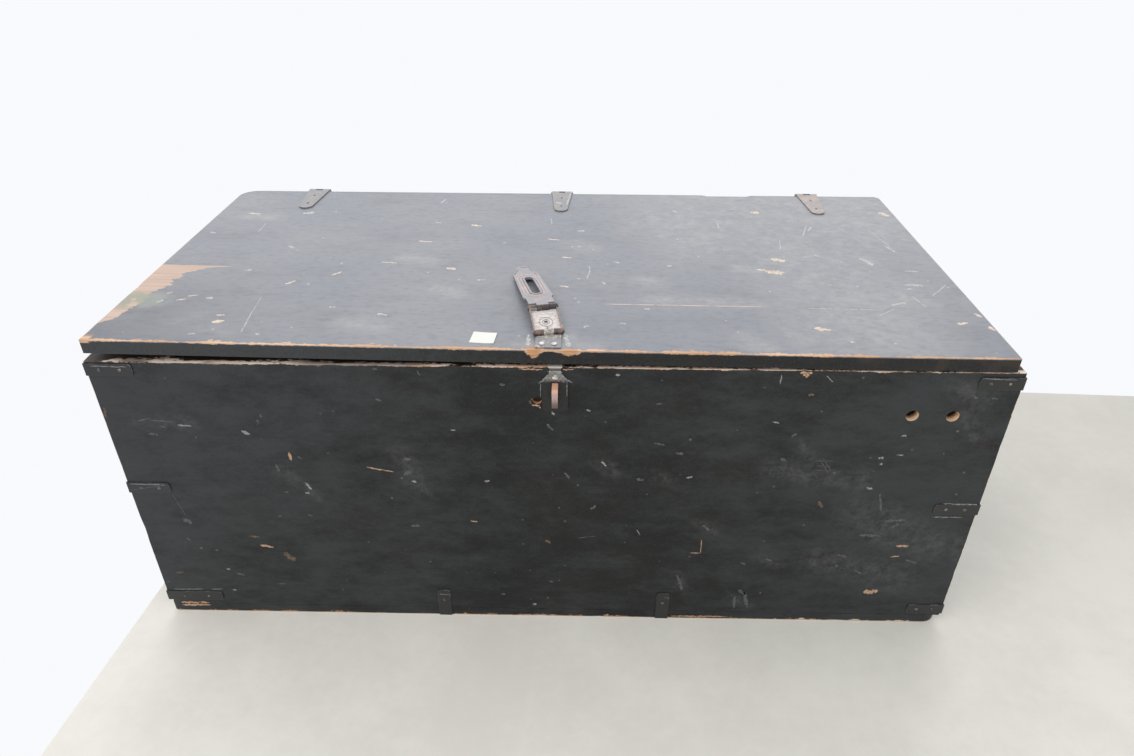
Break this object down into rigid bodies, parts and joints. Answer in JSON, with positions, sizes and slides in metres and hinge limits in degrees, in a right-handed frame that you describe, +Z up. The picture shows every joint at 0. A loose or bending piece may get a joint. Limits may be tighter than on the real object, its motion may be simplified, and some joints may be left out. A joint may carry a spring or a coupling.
{
  "type": "plank storage chest",
  "caption": "Low black painted plank chest with a hinged board lid, iron corner straps, strap hinges and a folding slotted hasp over a staple.",
  "frame": {"origin": "middle of the underside of the box", "axes": "+X along the front to the right, +Y from front to back, +Z up"},
  "size_m": [0.9124, 0.4667, 0.3815],
  "materials": {
    "black_painted_wood": "thin black paint over planed boards, satin, worn through to bare wood at edges and scratches",
    "lid_painted_wood": "thin black paint over planed boards, with a soft sheen, worn to bare wood along the front and left edges",
    "bare_wood": "bare old softwood, dull",
    "black_painted_iron": "hammered sheet iron, painted black with the boards",
    "rusty_iron": "bare forged iron with a thin old rust, dull"
  },
  "bodies": {
    "chest": {"front_board": "black_painted_wood", "rear_board": "black_painted_wood", "left_end_board": "black_painted_wood", "right_end_board": "black_painted_wood", "bottom_front_plank": "bare_wood", "bottom_rear_plank": "bare_wood", "front_left_top_strap": "black_painted_iron", "front_left_middle_strap": "black_painted_iron", "front_left_bottom_strap": "black_painted_iron", "front_right_top_strap": "black_painted_iron", "front_right_middle_strap": "black_painted_iron", "front_right_bottom_strap": "black_painted_iron", "rear_left_top_strap": "black_painted_iron", "rear_left_middle_strap": "black_painted_iron", "rear_left_bottom_strap": "black_painted_iron", "rear_right_top_strap": "black_painted_iron", "rear_right_middle_strap": "black_painted_iron", "rear_right_bottom_strap": "black_painted_iron", "front_left_foot_strap": "black_painted_iron", "front_right_foot_strap": "black_painted_iron", "rear_left_foot_strap": "black_painted_iron", "rear_right_foot_strap": "black_painted_iron", "staple_plate": "black_painted_iron", "staple": "rusty_iron", "staple_plate_nail": "rusty_iron", "left_hinge_lower_leaf": "black_painted_iron", "middle_hinge_lower_leaf": "black_painted_iron", "right_hinge_lower_leaf": "black_painted_iron", "left_hinge_pin": "rusty_iron", "middle_hinge_pin": "rusty_iron", "right_hinge_pin": "rusty_iron"},
    "lid": {"lid_front_plank": "lid_painted_wood", "lid_rear_plank": "lid_painted_wood", "lid_left_batten": "bare_wood", "lid_right_batten": "bare_wood", "left_hinge_upper_leaf": "black_painted_iron", "middle_hinge_upper_leaf": "black_painted_iron", "right_hinge_upper_leaf": "black_painted_iron", "hasp_base_plate": "black_painted_iron", "hasp_left_nail": "rusty_iron", "hasp_right_nail": "rusty_iron", "hasp_base_pin": "rusty_iron"},
    "hasp_link": {"hasp_link": "rusty_iron", "hasp_tongue_pin": "rusty_iron"},
    "hasp_tongue": {"hasp_tongue": "rusty_iron"}
  },
  "joints": [
    {"name": "lid_hinge", "type": "hinge", "parent": "chest", "child": "lid", "pos_m": [0, 0.2274, 0.3622], "axis": [-1, 0, 0], "range_deg": [0, 110]},
    {"name": "hasp_link_hinge", "type": "hinge", "parent": "lid", "child": "hasp_link", "pos_m": [-0.00397, -0.19098, 0.37061], "axis": [0.9816, 0.1908, -0.0106], "range_deg": [0, 168]},
    {"name": "hasp_tongue_hinge", "type": "hinge", "parent": "hasp_link", "child": "hasp_tongue", "pos_m": [-0.01118, -0.15345, 0.37839], "axis": [0.9705, 0.2409, -0.0002], "range_deg": [0, 108]}
  ]
}
